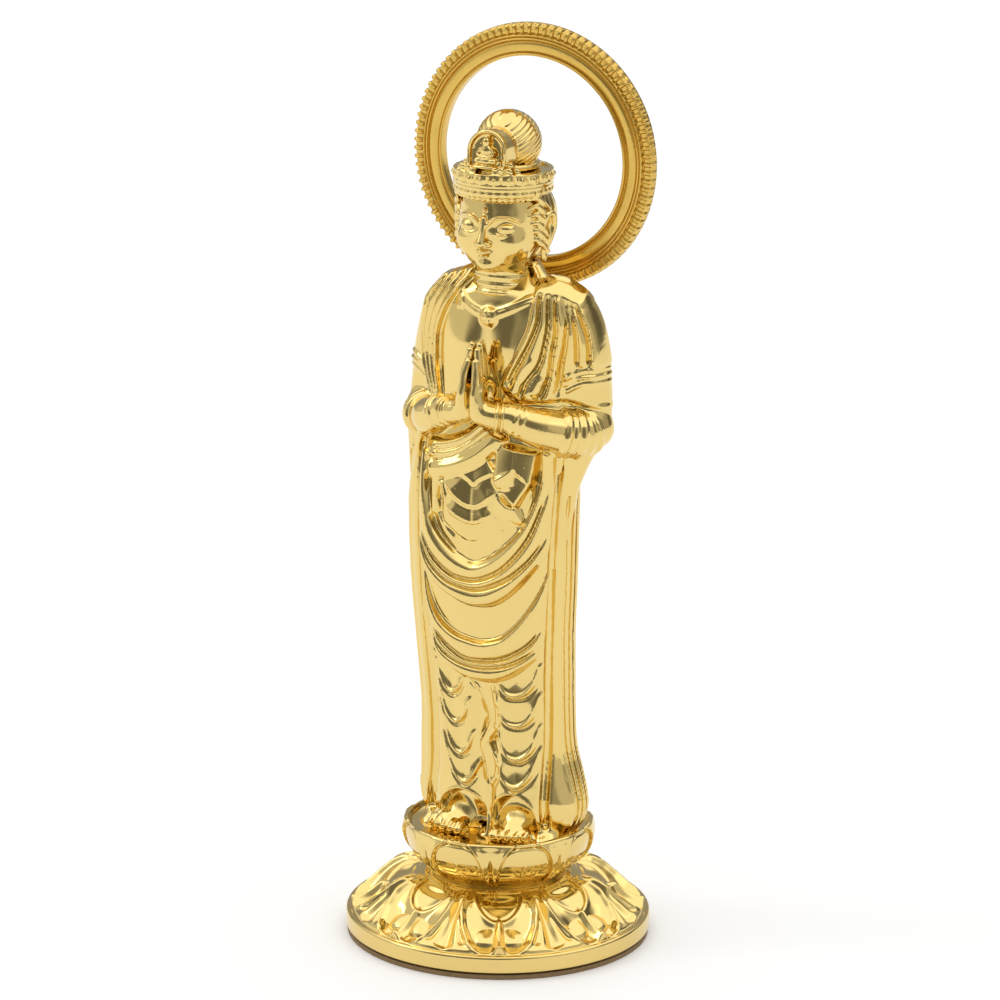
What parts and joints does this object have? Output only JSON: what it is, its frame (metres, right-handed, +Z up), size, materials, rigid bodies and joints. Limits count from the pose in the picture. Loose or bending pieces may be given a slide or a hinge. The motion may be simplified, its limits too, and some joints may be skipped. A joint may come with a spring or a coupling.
{
  "type": "standing bodhisattva statuette",
  "caption": "Standing praying figure in long robes and stoles on a lotus seat and petalled round base, with a lift-off ring halo behind the crowned head.",
  "frame": {"origin": "centre of the base's underside, on the surface the statuette stands on", "axes": "+Z up, the figure faces -Y, +X towards the figure's left hand"},
  "size_m": [0.034, 0.034, 0.1015],
  "materials": {
    "bright_gold": "mirror polished gold plating",
    "satin_gold": "satin gold plating",
    "steel": "zinc plated",
    "felt": "brown felt"
  },
  "bodies": {
    "statue": {"base_pad": "felt", "plinth": "bright_gold", "lotus_seat": "bright_gold", "seat_key": "steel", "base_washer": "steel", "base_screw": "steel", "robe_body": "bright_gold", "head": "bright_gold", "right_hand": "bright_gold", "left_hand": "bright_gold", "halo_socket": "satin_gold", "socket_screw": "steel"},
    "halo": {"halo_ring": "satin_gold", "halo_stem": "satin_gold", "halo_rivet_left": "satin_gold", "halo_rivet_right": "satin_gold"}
  },
  "joints": [
    {"name": "halo_lift", "type": "slide", "parent": "statue", "child": "halo", "axis": [0, 0, 1], "range_m": [0, 0.006]}
  ]
}
